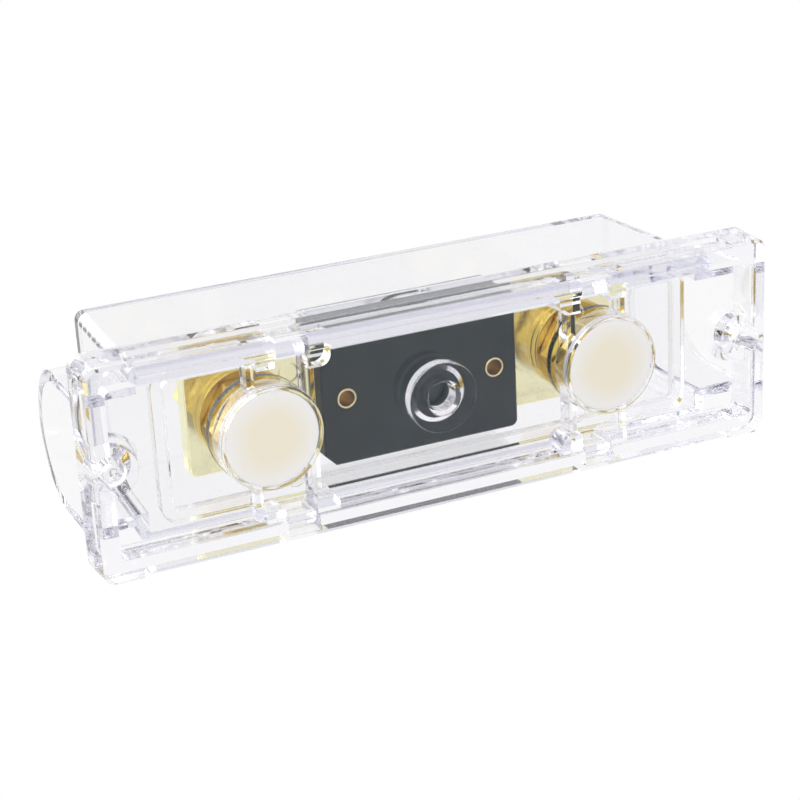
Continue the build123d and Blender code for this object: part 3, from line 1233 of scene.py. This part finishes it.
def light_backdrop(scene, settings):
    """A white backdrop for sight, and a plain soft light from all sides for the object."""
    world = bpy.data.worlds.new("studio")
    scene.world = world
    world.use_nodes = True
    tree = world.node_tree
    tree.nodes.clear()
    output = tree.nodes.new("ShaderNodeOutputWorld")
    direction = add_node(tree, "ShaderNodeTexCoord")
    parts = add_node(tree, "ShaderNodeSeparateXYZ")
    join(tree, direction.outputs["Generated"], parts.inputs["Vector"])
    strength = spread(
        tree, parts.outputs["Z"], settings.sky_bottom, settings.sky_top, -1.0, 1.0
    )
    soft = add_node(tree, "ShaderNodeBackground", {"Color": opaque(WHITE)})
    join(tree, strength, soft.inputs["Strength"])
    white = add_node(tree, "ShaderNodeBackground", {"Color": opaque(WHITE)})
    rays = add_node(tree, "ShaderNodeLightPath")
    falling = spread(
        tree, parts.outputs["Z"], settings.below_share, 1.0, -1.0, HORIZON_BELOW
    )
    card = add_node(tree, "ShaderNodeVectorMath", operation="DOT_PRODUCT")
    join(tree, direction.outputs["Generated"], card.inputs[0])
    card.inputs[1].default_value = Vector(settings.dim_direction).normalized()
    dimmed = spread(
        tree, card.outputs["Value"], 1.0, settings.dim_share, CARD_EDGE, CARD_MIDDLE
    )
    shaded = calculate(tree, "MULTIPLY", falling, dimmed)
    plain = largest(tree, shaded, rays.outputs["Is Camera Ray"])
    join(tree, plain, white.inputs["Strength"])
    seen = largest(
        tree,
        rays.outputs["Is Camera Ray"],
        rays.outputs["Is Glossy Ray"],
        rays.outputs["Is Transmission Ray"],
    )
    mix = add_node(tree, "ShaderNodeMixShader")
    join(tree, seen, mix.inputs["Fac"])
    join(tree, soft.outputs["Background"], mix.inputs[1])
    join(tree, white.outputs["Background"], mix.inputs[2])
    join(tree, mix.outputs["Shader"], output.inputs["Surface"])


def hang_softbox(name, place, size, power):
    """One square soft lamp turned to the holder."""
    data = bpy.data.lights.new(name, "AREA")
    data.shape = "SQUARE"
    data.size = size
    data.energy = power
    lamp = bpy.data.objects.new(name, data)
    bpy.context.scene.collection.objects.link(lamp)
    lamp.location = place
    aim = (CAD_LOW + CAD_HIGH) / 2 - Vector(place)
    lamp.rotation_mode = "QUATERNION"
    lamp.rotation_quaternion = aim.to_track_quat("-Z", "Y")


def lay_floor(settings):
    """A pale round floor, seen from above only, that fades into the backdrop."""
    shape = bmesh.new()
    bmesh.ops.create_circle(
        shape,
        cap_ends=True,
        cap_tris=False,
        segments=FLOOR_SIDES,
        radius=settings.floor_radius,
    )
    mesh = bpy.data.meshes.new("floor")
    shape.to_mesh(mesh)
    shape.free()
    floor = bpy.data.objects.new("floor", mesh)
    bpy.context.scene.collection.objects.link(floor)
    floor.location.z = CAD_LOW.z - settings.floor_drop
    floor.data.materials.append(floor_finish(settings))


def floor_finish(settings):
    """Pale matte paint that shows its upper face to straight and refracted sight."""
    cloud_size = 0.5
    cloud_share = 0.985
    finish, tree, output = new_finish("floor_paint")
    point = object_point(tree)
    paint = add_node(tree, "ShaderNodeBsdfDiffuse", {"Roughness": 0.3})
    tone = two_tone(
        tree,
        noise(tree, point, cloud_size),
        settings.floor_colour,
        tuple(part * cloud_share for part in settings.floor_colour),
    )
    join(tree, tone, paint.inputs["Color"])
    distance = add_node(tree, "ShaderNodeVectorMath", operation="LENGTH")
    join(tree, point, distance.inputs[0])
    near = spread(
        tree,
        distance.outputs["Value"],
        1.0,
        0.0,
        settings.floor_radius * FLOOR_FADE_START,
        settings.floor_radius * FLOOR_FADE_END,
    )
    rays = add_node(tree, "ShaderNodeLightPath")
    turned_back = largest(
        tree,
        rays.outputs["Is Shadow Ray"],
        rays.outputs["Glossy Depth"],
        rays.outputs["Diffuse Depth"],
    )
    seen = calculate(tree, "LESS_THAN", turned_back, 0.5)
    side = add_node(tree, "ShaderNodeNewGeometry")
    above = calculate(tree, "SUBTRACT", 1.0, side.outputs["Backfacing"])
    share = calculate(tree, "MULTIPLY", calculate(tree, "MULTIPLY", seen, above), near)
    through = add_node(tree, "ShaderNodeBsdfTransparent")
    mix = add_node(tree, "ShaderNodeMixShader")
    join(tree, share, mix.inputs["Fac"])
    join(tree, through.outputs["BSDF"], mix.inputs[1])
    join(tree, paint.outputs["BSDF"], mix.inputs[2])
    join(tree, mix.outputs["Shader"], output.inputs["Surface"])
    return finish


OPERATORS = (
    FUSEHOLDER_OT_stage,
    FUSEHOLDER_OT_clear_mouldings,
    FUSEHOLDER_OT_fuse_window,
    FUSEHOLDER_OT_fuse_housing,
    FUSEHOLDER_OT_fuse_strip,
    FUSEHOLDER_OT_rivets,
    FUSEHOLDER_OT_potting,
    FUSEHOLDER_OT_washers,
    FUSEHOLDER_OT_hex_nuts,
    FUSEHOLDER_OT_threaded_studs,
)


class FUSEHOLDER_PT_build(bpy.types.Panel):
    """Build steps of the fuse holder"""

    bl_label = "Fuse Holder"
    bl_idname = "FUSEHOLDER_PT_build"
    bl_space_type = "VIEW_3D"
    bl_region_type = "UI"
    bl_category = "Fuse Holder"

    def draw(self, context):
        column = self.layout.column(align=True)
        for operator in OPERATORS:
            column.operator(operator.bl_idname)


SETTINGS = {
    "holder_plastic": ClearPlasticSettings,
    "holder_housing": HousingSettings,
    "holder_metals": MetalSettings,
    "holder_potting": PottingSettings,
    "holder_thread": ThreadSettings,
    "holder_stage": StageSettings,
}


def register():
    """Make the settings, the operators and the panel known."""
    for group in SETTINGS.values():
        bpy.utils.register_class(group)
    for name, group in SETTINGS.items():
        setattr(bpy.types.Scene, name, PointerProperty(type=group))
    for operator in OPERATORS:
        bpy.utils.register_class(operator)
    bpy.utils.register_class(FUSEHOLDER_PT_build)


def unregister():
    """Take the panel, the operators and the settings away again."""
    bpy.utils.unregister_class(FUSEHOLDER_PT_build)
    for operator in reversed(OPERATORS):
        bpy.utils.unregister_class(operator)
    for name in SETTINGS:
        delattr(bpy.types.Scene, name)
    for group in reversed(SETTINGS.values()):
        bpy.utils.unregister_class(group)


def main():
    """Run each build step in order."""
    register()
    bpy.ops.fuseholder.stage()
    bpy.ops.fuseholder.clear_mouldings()
    bpy.ops.fuseholder.fuse_window()
    bpy.ops.fuseholder.fuse_housing()
    bpy.ops.fuseholder.fuse_strip()
    bpy.ops.fuseholder.rivets()
    bpy.ops.fuseholder.potting()
    bpy.ops.fuseholder.washers()
    bpy.ops.fuseholder.hex_nuts()
    bpy.ops.fuseholder.threaded_studs()


if __name__ == "__main__":
    main()
